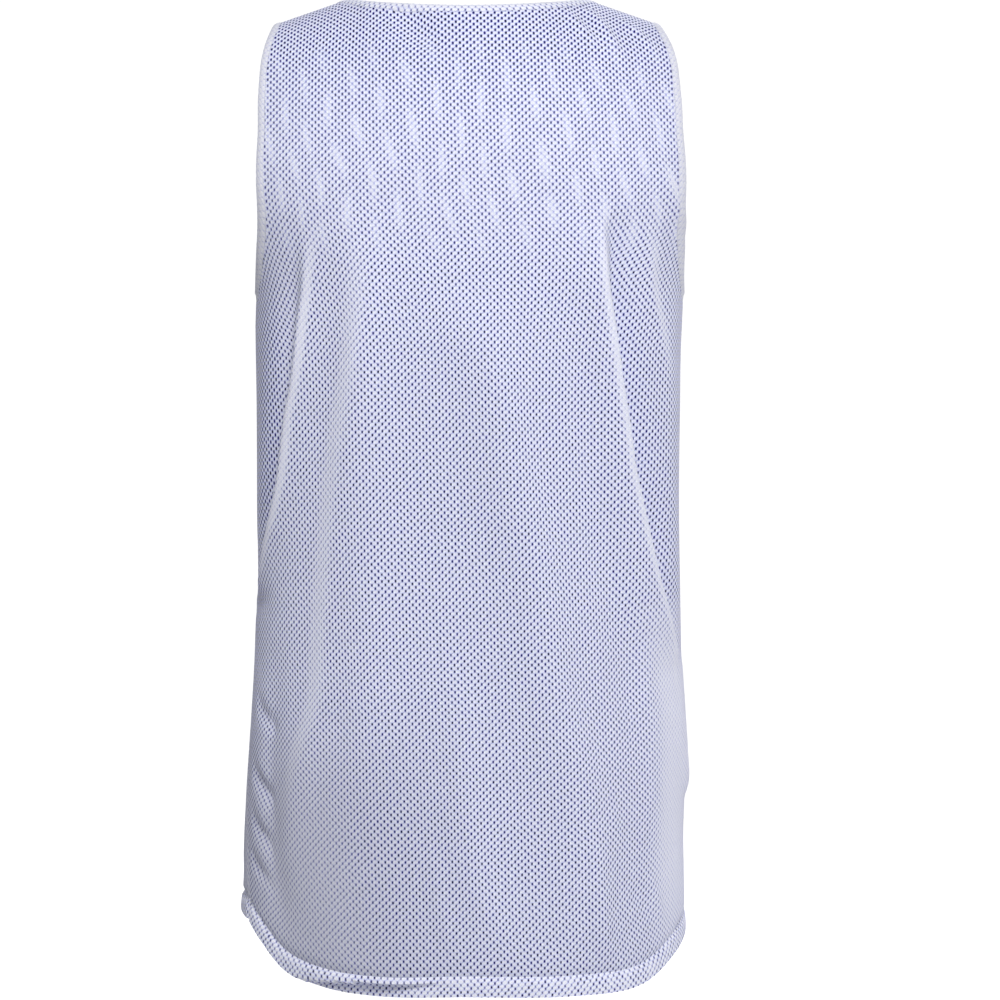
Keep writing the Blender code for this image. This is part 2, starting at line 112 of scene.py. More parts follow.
# Creases: a line of places (way, level, strength), where a strength of 1 is left out; how high
# the cloth stands on it; its half width on the near side and on the far side; which way the
# far side lies (1 towards more way or level); how deep it drops beyond the far side and how
# soon it comes back from that; and how far its steep side pulls the holes shut, or open where
# that is negative.
Crease = namedtuple("Crease", "line height near far far_side drop back shut", defaults=(1, 0.0, 0.01, 0.0))
BACK_CREASES = (
    # main fold, left
    Crease(((0.1, -0.163, 0), (0.112, -0.184, 0.1), (0.12, -0.206, 0.35), (0.126, -0.233, 0.7),
            (0.129, -0.258), (0.134, -0.285), (0.14, -0.305), (0.144, -0.326), (0.149, -0.351),
            (0.157, -0.373), (0.167, -0.394, 0.9), (0.18, -0.416, 0.5), (0.193, -0.438, 0)),
           0.0036, 0.016, 0.0065, 1, 0.009, 0.02),
    # its pale strip of closed mesh
    Crease(((0.092, -0.163, 0), (0.104, -0.184, 0.4), (0.113, -0.206, 0.8), (0.118, -0.233), (0.121, -0.258),
            (0.127, -0.285), (0.133, -0.305), (0.136, -0.326), (0.141, -0.351), (0.149, -0.373),
            (0.16, -0.394, 0.9), (0.172, -0.416, 0.5), (0.185, -0.438, 0)), 0, 0.01, 0.0052, shut=0.9),
    # where the cloth turns to the side, right
    Crease(((-0.16, -0.19, 0), (-0.163, -0.23, 0.8), (-0.167, -0.3), (-0.172, -0.38), (-0.18, -0.45, 0.5),
            (-0.184, -0.52, 0)), 0.0036, 0.012, 0.022, -1),
    # second fold, left
    Crease(((0.066, -0.177, 0), (0.072, -0.216, 0.6), (0.079, -0.273), (0.087, -0.309), (0.094, -0.351),
            (0.1, -0.408), (0.104, -0.465), (0.107, -0.515), (0.115, -0.54), (0.122, -0.569, 0.9),
            (0.126, -0.601, 0.6), (0.13, -0.637, 0)), 0.0018, 0.012, 0.01, 1, 0.0012, 0.02, shut=0.45),
    # flat of the shoulder blade, left
    Crease(((0.074, -0.153, 0), (0.076, -0.181, 0.5), (0.077, -0.245), (0.076, -0.316), (0.075, -0.38),
            (0.074, -0.45), (0.072, -0.507, 0.8), (0.068, -0.57, 0.4), (0.064, -0.619, 0)),
           0.0048, 0.024, 0.022),
    # long ridge, right of the middle
    Crease(((-0.008, -0.217, 0), (-0.014, -0.252, 0.7), (-0.025, -0.295), (-0.03, -0.33), (-0.039, -0.372),
            (-0.049, -0.415), (-0.055, -0.45), (-0.06, -0.493), (-0.069, -0.535, 0.9), (-0.083, -0.578, 0.8),
            (-0.09, -0.621, 0.7), (-0.092, -0.665, 0.5), (-0.093, -0.7, 0)), 0.0085, 0.026, 0.017, -1),
    # main fold, right
    Crease(((-0.083, -0.157, 0), (-0.09, -0.181, 0.5), (-0.097, -0.209, 0.9), (-0.105, -0.248),
            (-0.111, -0.284), (-0.117, -0.315), (-0.122, -0.344), (-0.13, -0.373), (-0.138, -0.401),
            (-0.146, -0.426), (-0.155, -0.446, 0.9), (-0.166, -0.466, 0.6), (-0.18, -0.487, 0)),
           0.009, 0.024, 0.0058, -1, 0.011, 0.019),
    # its pale strip of closed mesh
    Crease(((-0.079, -0.157, 0), (-0.086, -0.181, 0.5), (-0.093, -0.209, 0.9), (-0.101, -0.248),
            (-0.107, -0.284), (-0.113, -0.315), (-0.118, -0.344), (-0.126, -0.373), (-0.134, -0.401),
            (-0.142, -0.426), (-0.151, -0.446), (-0.162, -0.466), (-0.172, -0.5, 0.9), (-0.178, -0.54, 0)),
           0, 0.01, 0.006, -1, shut=1),
    # hollow inboard of the main fold, right
    Crease(((-0.084, -0.205, 0), (-0.087, -0.245, 0.8), (-0.094, -0.316), (-0.101, -0.38), (-0.107, -0.43),
            (-0.117, -0.465), (-0.123, -0.508), (-0.129, -0.537, 0.6), (-0.134, -0.58, 0)),
           -0.004, 0.016, 0.013, -1),
    # pale fold by the right armhole
    Crease(((-0.116, -0.164, 0), (-0.13, -0.187, 0.7), (-0.143, -0.222), (-0.154, -0.254, 0.7),
            (-0.162, -0.283, 0)), 0.002, 0.006, 0.005, -1, shut=0.6),
    # bulge at the right seam
    Crease(((-0.167, -0.502, 0), (-0.18, -0.525, 0.7), (-0.191, -0.547), (-0.2, -0.576),
            (-0.201, -0.5815, 0)), 0.0018, 0.012, 0.014, -1),
    # low ridge in the middle
    Crease(((0.005, -0.464, 0), (0.005, -0.521, 0.8), (0.002, -0.577), (-0.002, -0.612), (-0.007, -0.64),
            (-0.016, -0.664, 0.8), (-0.023, -0.689, 0.3), (-0.025, -0.706, 0)), 0.0038, 0.013, 0.011, -1),
    # short ridges over the hem
    Crease(((0.024, -0.612, 0), (0.02, -0.64), (0.014, -0.668), (0.008, -0.692, 0)), 0.002, 0.007, 0.006),
    Crease(((-0.089, -0.606, 0), (-0.092, -0.634), (-0.096, -0.67), (-0.101, -0.695, 0)),
           0.0022, 0.007, 0.006),
    Crease(((-0.103, -0.575, 0), (-0.106, -0.596), (-0.109, -0.614, 0)), 0.0018, 0.005, 0.005),
    # hem corner, right
    Crease(((-0.136, -0.631, 0), (-0.144, -0.647), (-0.149, -0.661, 0.9), (-0.154, -0.675, 0)),
           0.002, 0.005, 0.005),
    Crease(((-0.12, -0.636, 0), (-0.129, -0.651), (-0.14, -0.665, 0)), -0.0016, 0.005, 0.005),
    # hollow by the neck, left
    Crease(((0.039, -0.016, 0.5), (0.033, -0.03), (0.027, -0.043), (0.019, -0.06, 0)),
           -0.0042, 0.009, 0.011),
    # strap creases, right
    Crease(((-0.058, -0.009, 0.3), (-0.065, -0.025), (-0.073, -0.04, 0.7), (-0.08, -0.057, 0)),
           0.0024, 0.0038, 0.0035, -1, shut=0.3),
    Crease(((-0.073, -0.002, 0.5), (-0.08, -0.023), (-0.088, -0.045, 0.7), (-0.095, -0.067, 0)),
           0.003, 0.0045, 0.004, -1, shut=0.3),
    Crease(((-0.092, -0.004, 0.3), (-0.1, -0.019), (-0.11, -0.038, 0.6), (-0.117, -0.058, 0)),
           0.002, 0.0038, 0.0038, -1, shut=0.3),
    # armhole crease, right
    Crease(((-0.118, -0.128, 0), (-0.129, -0.146), (-0.144, -0.161), (-0.164, -0.176, 0)),
           0.0022, 0.005, 0.004, -1, shut=0.5),
    # broad ridge, lower left, that turns the cloth beyond it away
    Crease(((0.09, -0.52, 0), (0.084, -0.57, 0.6), (0.076, -0.62), (0.068, -0.665), (0.062, -0.705, 0.8)),
           0.0095, 0.032, 0.064, shut=0.36),
    # long hollow, lower left, and the low ridge, lower right
    Crease(((0.149, -0.466, 0), (0.151, -0.509, 0.7), (0.152, -0.552), (0.146, -0.595), (0.136, -0.644, 0.8),
            (0.124, -0.679, 0)), -0.003, 0.013, 0.009),
    Crease(((-0.131, -0.465, 0), (-0.136, -0.508, 0.8), (-0.139, -0.551), (-0.143, -0.594, 0.8),
            (-0.147, -0.638, 0)), 0.0025, 0.014, 0.012, -1),
    # puckers along the left seam
    Crease(((0.214, -0.441, 0.2), (0.198, -0.44), (0.176, -0.439), (0.154, -0.435, 0)),
           -0.0028, 0.008, 0.008),
    Crease(((0.18, -0.512, 0), (0.17, -0.518, 0.8), (0.161, -0.523), (0.154, -0.527, 0.6),
            (0.147, -0.531, 0)), -0.0036, 0.006, 0.006),
    Crease(((0.18, -0.559, 0), (0.17, -0.565, 0.8), (0.16, -0.572), (0.151, -0.578, 0.6),
            (0.143, -0.583, 0)), -0.005, 0.006, 0.005),
    Crease(((0.175, -0.593, 0), (0.166, -0.599, 0.8), (0.157, -0.605), (0.149, -0.61, 0.6),
            (0.142, -0.615, 0)), -0.004, 0.005, 0.005),
    Crease(((0.174, -0.621, 0), (0.166, -0.626, 0.8), (0.156, -0.632), (0.147, -0.637, 0.5),
            (0.139, -0.642, 0)), -0.0034, 0.005, 0.005),
    # stretches without relief where the mesh is pulled open, left and right
    Crease(((0.15, -0.19, 0), (0.152, -0.23, 0.7), (0.157, -0.29), (0.166, -0.37), (0.176, -0.42, 0.9),
            (0.182, -0.47, 0)), 0, 0.02, 0.02, shut=-0.45),
    Crease(((-0.115, -0.2, 0), (-0.122, -0.24, 0.7), (-0.134, -0.31), (-0.146, -0.37), (-0.158, -0.43, 0.9),
            (-0.168, -0.48, 0)), 0, 0.02, 0.02, -1, shut=-0.1),
    # stretch without relief where the mesh is drawn shut, lower right
    Crease(((-0.136, -0.43, 0), (-0.142, -0.47, 0.8), (-0.145, -0.54), (-0.145, -0.62), (-0.146, -0.67, 0.6),
            (-0.148, -0.7, 0)), 0, 0.01, 0.04, -1, shut=0.72),
)
FRONT_CREASES = (
    # main folds from the armholes
    Crease(((0.335, -0.16, 0), (0.325, -0.2, 0.7), (0.312, -0.26), (0.297, -0.33), (0.28, -0.39, 0.8),
            (0.262, -0.45, 0)), 0.0035, 0.018, 0.007, -1, 0.005, 0.02, shut=0.9),
    Crease(((-0.34, -0.16, 0), (-0.33, -0.21, 0.8), (-0.315, -0.28), (-0.3, -0.36), (-0.28, -0.44, 0.6),
            (-0.268, -0.49, 0)), 0.0035, 0.018, 0.007, 1, 0.0055, 0.02, shut=0.9),
    # second folds
    Crease(((0.375, -0.2, 0), (0.368, -0.28, 0.8), (0.352, -0.4), (0.338, -0.52), (0.325, -0.62, 0.4),
            (0.32, -0.66, 0)), 0.002, 0.012, 0.007, -1, 0.003, 0.018, shut=0.5),
    Crease(((-0.385, -0.24, 0), (-0.372, -0.34, 0.9), (-0.358, -0.47), (-0.348, -0.6, 0.7),
            (-0.345, -0.66, 0)), 0.003, 0.015, 0.012),
    # ridge and hollow of the belly
    Crease(((0.425, -0.3, 0), (0.415, -0.42, 0.9), (0.405, -0.55), (0.395, -0.66, 0.6), (0.39, -0.69, 0)),
           0.004, 0.02, 0.018, -1),
    Crease(((-0.42, -0.5, 0), (-0.412, -0.58), (-0.404, -0.65, 0.7), (-0.4, -0.69, 0)),
           -0.002, 0.014, 0.014),
    # hollows under the neck
    Crease(((0.392, -0.11, 0), (0.4, -0.16), (0.412, -0.23, 0)), -0.002, 0.012, 0.01),
    Crease(((-0.388, -0.12, 0), (-0.394, -0.175), (-0.402, -0.25, 0)), -0.0016, 0.012, 0.012),
    # strap creases
    Crease(((0.338, -0.01, 0.5), (0.33, -0.03), (0.322, -0.06, 0)), 0.0013, 0.004, 0.0035),
    Crease(((-0.33, -0.012, 0.5), (-0.336, -0.036), (-0.344, -0.066, 0)), 0.0013, 0.004, 0.0035),
    # puckers along the seams
    Crease(((-0.206, -0.556, 0), (-0.226, -0.56), (-0.25, -0.566, 0.7), (-0.275, -0.575, 0)),
           -0.0018, 0.007, 0.008),
    Crease(((-0.206, -0.61, 0), (-0.224, -0.612), (-0.245, -0.616, 0.7), (-0.27, -0.625, 0)),
           -0.002, 0.006, 0.007),
    Crease(((0.206, -0.498, 0), (0.226, -0.5), (0.25, -0.506, 0.7), (0.28, -0.515, 0)),
           -0.002, 0.008, 0.008),
    Crease(((0.2, -0.59, 0), (0.22, -0.592), (0.244, -0.595, 0.7), (0.268, -0.6, 0)), -0.002, 0.006, 0.007),
    Crease(((0.196, -0.636, 0), (0.214, -0.638), (0.236, -0.643, 0.7), (0.26, -0.648, 0)),
           -0.0018, 0.006, 0.006),
)
CREASES = BACK_CREASES + FRONT_CREASES

# Cloth
LAYER = 0.0011
LAYER_SHOWN = 0.0007         # a layer is a little thinner here than its solid
GAP = 0.0003
WALL = 2 * LAYER + GAP
SEAM_DIP = 0.0009            # the panels' edges turn in at the side seams
SEAM_DIP_WIDTH = 0.0025
HEM_DIP = 0.0016             # and so does all cloth along the seam of the hem
HEM_DIP_WIDTH = 0.0022
HEM_FLARE = 0.0012           # the hem stands out a little at its foot
LOW_LEAN = 0.012             # the lower left of the back leans in towards the hem,
LEAN_DROP = 0.12             # and sinks by this share of its lean
PANEL_HALF = 0.235           # half a panel's width, for distances from its side seams

# Grid of a panel: how many columns and rows the coarse grid of the solid is cut into
NECK_COLUMNS = 14
STRAP_COLUMNS = 9
LOW_ROWS = 12
HIGH_ROWS = 14
COLUMNS = NECK_COLUMNS + 2 * STRAP_COLUMNS
ROWS = LOW_ROWS + HIGH_ROWS
SIDE_DENSITY = 0.13
END_DENSITY = 0.02


# Form

def mix(first, second, share):
    return first + (second - first) * share


def curve_through(z, heights, values):
    heights, values = np.array(heights), np.array(values, dtype=float)
    slopes = np.gradient(values, heights)
    k = np.clip(np.searchsorted(heights, z) - 1, 0, len(heights) - 2)
    step = heights[k + 1] - heights[k]
    u = np.clip((z - heights[k]) / step, 0.0, 1.0)
    start = (2 * u**3 - 3 * u**2 + 1) * values[k] + (u**3 - 2 * u**2 + u) * step * slopes[k]
    end = (3 * u**2 - 2 * u**3) * values[k + 1] + (u**3 - u**2) * step * slopes[k + 1]
    return start + end


def section(column, z):
    return curve_through(z, [row.z for row in SECTIONS], [getattr(row, column) for row in SECTIONS])


def armhole_fraction(column, half, z):
    heights = [UNDERARM_Z] + [row.z for row in ARMHOLE]
    fractions = [1.0] + [getattr(row, column) / section(half, row.z) for row in ARMHOLE]
    return curve_through(z, heights, fractions)


def hem_height(column, place):
    return curve_through(place, [row.place for row in HEM], [getattr(row, column) for row in HEM])


def signed_power(value, power=2.0 / RING_POWER):
    return np.sign(value) * np.abs(value) ** power


def smooth_step(value, low, high):
    u = np.clip((value - low) / (high - low), 0.0, 1.0)
    return u * u * (3.0 - 2.0 * u)


def ring_angle(fraction):
    return np.arcsin(np.clip(fraction, 0.0, 1.0) ** (RING_POWER / 2.0))


def strap_angle(inset):
    return float(ring_angle((SHOULDER_HALF - BAND_SLANT * inset) / TOP_HALF))


def shoulder_x(sigma, inset):
    return TOP_HALF * signed_power(np.sin(sigma * strap_angle(inset)))


def shoulder_height(sigma, inset):
    x = np.abs(shoulder_x(sigma, inset))
    inside = NECK_RISE * (1.0 - np.clip(x / NECK_HALF, 0.0, 1.0) ** 2) ** 1.3
    slope = SHOULDER_DROP / (SHOULDER_HALF - NECK_HALF)
    return np.where(x < NECK_HALF, inside, -slope * (x - NECK_HALF))


def edge_angle(panel, z, left, inset):
    seam = np.radians(np.where(left, section("seam_left", z), section("seam_right", z)))
    if panel == "front":
        seam = np.pi - seam
    bottom = UNDERARM_Z - inset
    height = mix(UNDERARM_Z, -SHOULDER_DROP, (z - bottom) / (-SHOULDER_DROP - bottom))
    fraction = np.where(left, armhole_fraction(f"{panel}_left", "half_left", height),
                        armhole_fraction(f"{panel}_right", "half_right", height))
    clear = np.sqrt(np.clip((height - UNDERARM_Z) / ARMHOLE_CORNER, 0.0, 1.0))
    cut = ring_angle(fraction - BAND_SLANT * inset * clear / TOP_HALF)
    return np.where(z > bottom, cut, seam)


def roll_angle(q):
    return np.maximum(0.5 * np.pi * (1.0 - q / ROLL_LENGTH), 0.0)


def form_height(sigma, q, inset):
    drop = SHOULDER_ROLL * (1.0 - np.sin(roll_angle(q))) + np.maximum(q - ROLL_LENGTH, 0.0)
    return shoulder_height(sigma, inset) - drop


def form(panel, sigma, q, inset, edge=None):
    z = form_height(sigma, q, inset)
    if edge is None:
        edge = edge_angle(panel, z, sigma > 0.0, inset)
    half = np.where(sigma > 0.0, section("half_left", z), section("half_right", z))
    turn = sigma * edge
    x = half * signed_power(np.sin(turn)) + LEAN * smooth_step(z, -0.30, 0.0)
    reach = SIDE[panel] * signed_power(np.cos(turn)) * np.cos(roll_angle(q))
    y = reach * np.where(reach > 0.0, section("back", z), section("front", z))
    return np.stack([x, y, z], axis=-1)


def unit(vectors):
    return vectors / np.maximum(np.linalg.norm(vectors, axis=-1, keepdims=True), 1e-12)


def form_normal(panel, sigma, q, inset):
    here = edge_angle(panel, form_height(sigma, q, inset), sigma > 0.0, inset)
    upright = (q > ROLL_LENGTH)[..., None]

    def step(by_sigma, by_q, edge):
        ahead = form(panel, sigma + by_sigma, q + by_q, inset, edge)
        return ahead - form(panel, sigma - by_sigma, q - by_q, inset, edge)

    across = np.where(upright, step(SIGMA_STEP, 0.0, here), step(SIGMA_STEP, 0.0, None))
    down = np.where(upright, step(0.0, Q_STEP, here), step(0.0, Q_STEP, None))
    return unit(SIDE[panel] * np.cross(unit(across), unit(down)))


def hem_q(panel, sigma, inset):
    place = np.abs(sigma)
    z = np.where(sigma > 0.0, hem_height(f"{panel}_left", place), hem_height(f"{panel}_right", place))
    return ROLL_LENGTH + shoulder_height(sigma, inset) - SHOULDER_ROLL - z


def neck_sigma(inset):
    return float(ring_angle((NECK_HALF + inset) / TOP_HALF)) / strap_angle(inset)


def top_q(panel, sigma, inset):
    x = np.abs(shoulder_x(sigma, inset))
    inside = np.clip(1.0 - (x / (NECK_HALF + inset)) ** 2, 0.0, 1.0)
    thin = np.cos(sigma * strap_angle(inset)) ** (2.0 / RING_POWER)
    front_depth = section("front", 0.0) * thin
    back_depth = section("back", 0.0) * thin
    seam_roll = np.arccos(-SEAM_FORWARD / front_depth)
    if panel == "back":
        middle_y = NECK_BACK + NECK_SLANT * inset
        y = mix(-SEAM_FORWARD, middle_y, np.sqrt(inside))
        roll = np.arccos(y / np.where(y > 0.0, back_depth, front_depth))
    else:
        seam_z = SHOULDER_ROLL * (np.sin(seam_roll) - 1.0)
        z = mix(seam_z, -NECK_FRONT_DROP - inset, inside**NECK_FRONT_OVAL)
        sine = 1.0 - (shoulder_height(sigma, inset) - z) / SHOULDER_ROLL
        roll = np.minimum(np.arcsin(np.clip(sine, -1.0, 1.0)), np.pi - seam_roll)
    return ROLL_LENGTH * (1.0 - roll / (0.5 * np.pi))


def underarm_q(inset):
    height = float(shoulder_height(1.0, inset))
    return ROLL_LENGTH + height - SHOULDER_ROLL - UNDERARM_Z + inset


def panel_sigma(column, row, inset):
    place = column - COLUMNS / 2.0
    neck_end = neck_sigma(inset)
    neck_part = neck_end * np.sin(np.clip(place / (NECK_COLUMNS / 2.0), -1.0, 1.0) * np.pi / 2.0)
    strap_part = np.maximum(np.abs(place) - NECK_COLUMNS / 2.0, 0.0) / STRAP_COLUMNS
    top = neck_part + np.sign(place) * (1.0 - neck_end) * strap_part
    even = 2.0 * place / COLUMNS
    low = even + SIDE_DENSITY * np.sin(np.pi * even)
    share = smooth_step(row, LOW_ROWS, ROWS - 5.0)
    return mix(low, top, share)


def panel_q(panel, sigma, row, inset):
    bottom = hem_q(panel, sigma, inset) - HEM_BAND - GAP
    low = mix(bottom, underarm_q(inset), np.clip(row / LOW_ROWS, 0.0, 1.0))
    high = np.clip((row - LOW_ROWS) / HIGH_ROWS, 0.0, 1.0)
    high = high - END_DENSITY * np.sin(2.0 * np.pi * high)
    return mix(low, top_q(panel, sigma, inset), high)


# Folds

def ring_way():
    """Way round a typical ring of the body against the turn from the middle of the back."""
    turn = np.linspace(0.0, np.pi, 721)
    x = 0.156 * signed_power(np.sin(turn))
    y = 0.1115 * signed_power(np.cos(turn))
    way = np.concatenate([[0.0], np.cumsum(np.hypot(np.diff(x), np.diff(y)))])
    return turn, way


RING_TURN, RING_WAY = ring_way()


def fold_place(panel, sigma, q, inset):
    """Way and level of each point of the cloth."""
    z = form_height(sigma, q, inset)
    turn = np.abs(sigma) * edge_angle(panel, z, sigma > 0.0, inset)
    if panel == "front":
        turn = np.pi - turn
    way = np.where(sigma < 0.0, -1.0, 1.0) * np.interp(turn, RING_TURN, RING_WAY)
    level = shoulder_height(sigma, inset) - q + ROLL_LENGTH - SHOULDER_ROLL
    return way, level


def crease_points(crease):
    """The places of a crease's line, each with its strength."""
    return np.array([(*place, 1.0)[:3] for place in crease.line])


def crease_lift(crease, way, level):
    """How far one crease lifts the cloth, and how far it shuts the holes."""
    line = crease_points(crease)
    runs_down = np.ptp(line[:, 1]) > np.ptp(line[:, 0])
    along, beside = (level, way) if runs_down else (way, level)
    line = line[np.argsort(line[:, 1 if runs_down else 0])]
    stations, offsets = (line[:, 1], line[:, 0]) if runs_down else (line[:, 0], line[:, 1])
    here = curve_through(along, stations, offsets)
    slant = (curve_through(along + 0.002, stations, offsets) - here) / 0.002
    strength = np.clip(curve_through(along, stations, line[:, 2]), 0.0, None)
    away = crease.far_side * (beside - here) / np.sqrt(1.0 + slant**2)
    falling = np.exp(-(away / crease.far) ** 2)
    rest = np.exp(-(np.maximum(away - crease.far, 0.0) / crease.back) ** 2)
    near = crease.height * np.exp(-(away / crease.near) ** 2)
    far = crease.height * falling - crease.drop * (1.0 - falling) * rest
    shut = crease.shut * np.exp(-((away - 0.7 * crease.far) / (0.75 * crease.far)) ** 4)
    return strength * np.where(away < 0.0, near, far), strength * shut


def wrapped():
    """The creases by the middle of the front once more, as seen from the way's other end."""
    around = 2.0 * RING_WAY[-1]
    near = [crease for crease in FRONT_CREASES if max(abs(place[0]) for place in crease.line) > 0.37]
    turned = []
    for crease in near:
        by = -np.sign(crease.line[0][0]) * around
        turned.append(crease._replace(line=tuple((way + by, *rest) for way, *rest in crease.line)))
    return tuple(turned)


def crease_field(way, level):
    """What all creases do to the cloth at each place: its lift, and how shut its holes are."""
    lift, shut = np.zeros_like(way), np.zeros_like(way)
    for crease in CREASES + wrapped():
        line = crease_points(crease)
        reach = 3.0 * max(crease.near, crease.far, crease.back if crease.drop else 0.0)
        low, high = line[:, :2].min(axis=0), line[:, :2].max(axis=0)
        if np.ptp(line[:, 1]) > np.ptp(line[:, 0]):
            low[0], high[0] = low[0] - reach, high[0] + reach
        else:
            low[1], high[1] = low[1] - reach, high[1] + reach
        inside = (way > low[0]) & (way < high[0]) & (level > low[1]) & (level < high[1])
        if inside.any():
            more, closing = crease_lift(crease, way[inside], level[inside])
            lift[inside] += more
            kept = shut[inside]
            shut[inside] = np.where(np.abs(closing) > np.abs(kept), closing, kept)
    return lift, shut


def low_left(way, level):
    """1 at the hem's lower left, where the back leans in, and 0 away from it."""
    across = smooth_step(way, -0.01, 0.07) * smooth_step(way, 0.185, 0.125)
    return smooth_step(-level, 0.510, 0.730) * across


def cloth(panel, sigma, q, inset):
    """Points of the outer face of the cloth, folds and all."""
    way, level = fold_place(panel, sigma, q, inset)
    lift = crease_field(way, level)[0]
    seam_gap = np.abs(np.abs(sigma) - 1.0) * PANEL_HALF
    below = level < UNDERARM_Z
    dip = np.where(below, SEAM_DIP * np.exp(-(seam_gap / SEAM_DIP_WIDTH) ** 2), 0.0)
    hem_gap = q - hem_q(panel, sigma, inset) + HEM_BAND
    dip = dip + HEM_DIP * np.exp(-(hem_gap / HEM_DIP_WIDTH) ** 2)
    points = form(panel, sigma, q, inset) + form_normal(panel, sigma, q, inset) * (lift - dip)[..., None]
    lean = LOW_LEAN * low_left(way, level)
    points[..., 1] -= lean
    points[..., 2] -= LEAN_DROP * lean
    return points


# Place on the flat cloth

GRAIN_TURNS, GRAIN_LEVELS = 401, 181     # fineness of the table of widths across the cloth
WIDEST_TURN = 2.00                       # and how far it reaches round the body,
GRAIN_LOW, GRAIN_HIGH = -0.74, 0.06      # and up
FRONT_WAY = 0.431            # way of the middle of the front
ROLL_DEPTH = 0.078           # how far back the cloth leans over the shoulders, for its length
TOP_STRETCH = 0.065          # the upper part is stretched this much wider

# How the drape of the back draws its rows and columns of holes out of square. The front is
# drawn as the back is at half the way.
DRAPE_FALL = 0.040           # rows fall towards the left, in metres a metre
DRAPE_RISE = 0.65            # low down they rise towards both sides, in metres a square metre
DRAPE_LIFT = 0.009           # and all of them lie this much higher there
DRAPE_LEAN = 0.021           # columns lean to the left upwards, in metres a metre
DRAPE_SPREAD = 1.1           # halfway up they spread at both sides, in metres a cubic metre
DRAPE_EDGE = 0.24            # no pull grows beyond this way from the middle
DRAPE_LOW = (0.42, 0.72)     # depths between which the rise sets in
MID_LEVEL = -0.36            # the lean leaves this level in place
SPREAD_LEVEL = -0.30         # the spread is widest at this level,
SPREAD_REACH = 0.34          # and ends this far above and below it


def roll_way(q):
    """Length of cloth from the foot of the roll over the shoulders up to q."""
    steps = np.linspace(-0.25 * ROLL_LENGTH, ROLL_LENGTH, 400)
    roll = 0.5 * np.pi * (1.0 - steps / ROLL_LENGTH)
    rate = 0.5 * np.pi / ROLL_LENGTH
    speed = rate * np.hypot(SHOULDER_ROLL * np.cos(roll), ROLL_DEPTH * np.sin(roll))
    way = np.concatenate([[0.0], np.cumsum(0.5 * (speed[1:] + speed[:-1]) * np.diff(steps))])
    return way[-1] - np.interp(q, steps, way)


def look_up(table, i, j):
    """Values of a table between its places, i down the first side and j along the second."""
    i = np.clip(i, 0.0, table.shape[0] - 1.001)
    j = np.clip(j, 0.0, table.shape[1] - 1.001)
    i0, j0 = i.astype(int), j.astype(int)
    low = mix(table[i0, j0], table[i0 + 1, j0], i - i0)
    return mix(low, mix(table[i0, j0 + 1], table[i0 + 1, j0 + 1], i - i0), j - j0)


def drape(way, level):
    """What the drape adds to a place on the flat cloth, across and along."""
    way = np.clip(way, -DRAPE_EDGE, DRAPE_EDGE)
    low = smooth_step(-level, *DRAPE_LOW)
    halfway = smooth_step(np.abs(level - SPREAD_LEVEL), SPREAD_REACH, 0.0)
    across = -DRAPE_LEAN * (level - MID_LEVEL) - DRAPE_SPREAD * way**3 * halfway
    return across, DRAPE_FALL * way - (DRAPE_RISE * way**2 + DRAPE_LIFT) * low


def flat_place(panel, sigma, q, inset):
    """Where each point lies on the flat cloth, in metres: across from the middle, and along."""
    along = shoulder_height(sigma, inset) - SHOULDER_ROLL
    along = along + np.where(q < ROLL_LENGTH, roll_way(q), ROLL_LENGTH - q)
    turns = np.linspace(-WIDEST_TURN, WIDEST_TURN, GRAIN_TURNS)
    levels = np.linspace(GRAIN_LOW, GRAIN_HIGH, GRAIN_LEVELS)
    turn, level = np.meshgrid(turns, levels, indexing="ij")
    edge = strap_angle(inset)
    for _ in range(2):
        guess = np.clip(turn / edge, -1.0, 1.0)
        table_q = np.maximum(shoulder_height(guess, inset) + ROLL_LENGTH - SHOULDER_ROLL - level, 0.0)
        edge = edge_angle(panel, form_height(guess, table_q, inset), turn > 0.0, inset)
    steps = np.linalg.norm(np.diff(cloth(panel, guess, table_q, inset), axis=0), axis=2)
    across = np.concatenate([np.zeros((1, GRAIN_LEVELS)), np.cumsum(steps, axis=0)])
    across -= across[GRAIN_TURNS // 2]
    way, level = fold_place(panel, sigma, q, inset)
    turn = sigma * edge_angle(panel, form_height(sigma, q, inset), sigma > 0.0, inset)
    wide = look_up(across, (turn / WIDEST_TURN + 1.0) / 2.0 * (GRAIN_TURNS - 1),
                   (level - GRAIN_LOW) / (GRAIN_HIGH - GRAIN_LOW) * (GRAIN_LEVELS - 1))
    wide = wide * (1.0 - TOP_STRETCH * smooth_step(level, -0.27, -0.14))
    if panel == "front":
        way = 0.5 * (np.where(way > 0.0, FRONT_WAY, -FRONT_WAY) - way)
    pulled_across, pulled_along = drape(way, level)
    return wide + pulled_across, along + pulled_along


# Meshes

SHARP_ANGLE = 55.0
Net = namedtuple("Net", "points normals across along")


def net_of(panel, sigma, q, inset):
    """A panel's points with their outward normals and their place on the flat cloth."""
    points = cloth(panel, sigma, q, inset)
    normals = unit(np.cross(np.gradient(points, axis=0), np.gradient(points, axis=1)))
    normals *= -SIDE[panel]
    return Net(points, normals, *flat_place(panel, sigma, q, inset))


def grid_mesh(columns, rows):
    mesh = bmesh.new()
    mesh.verts.layers.int.new("number")
    bmesh.ops.create_grid(mesh, x_segments=columns, y_segments=rows, size=0.5)
    number = mesh.verts.layers.int["number"]
    for place, vertex in enumerate(mesh.verts):
        vertex[number] = place
    places = np.array([vertex.co[:] for vertex in mesh.verts])
    column = np.rint((places[:, 0] + 0.5) * columns).astype(int)
    row = np.rint((places[:, 1] + 0.5) * rows).astype(int)
    return mesh, column, row


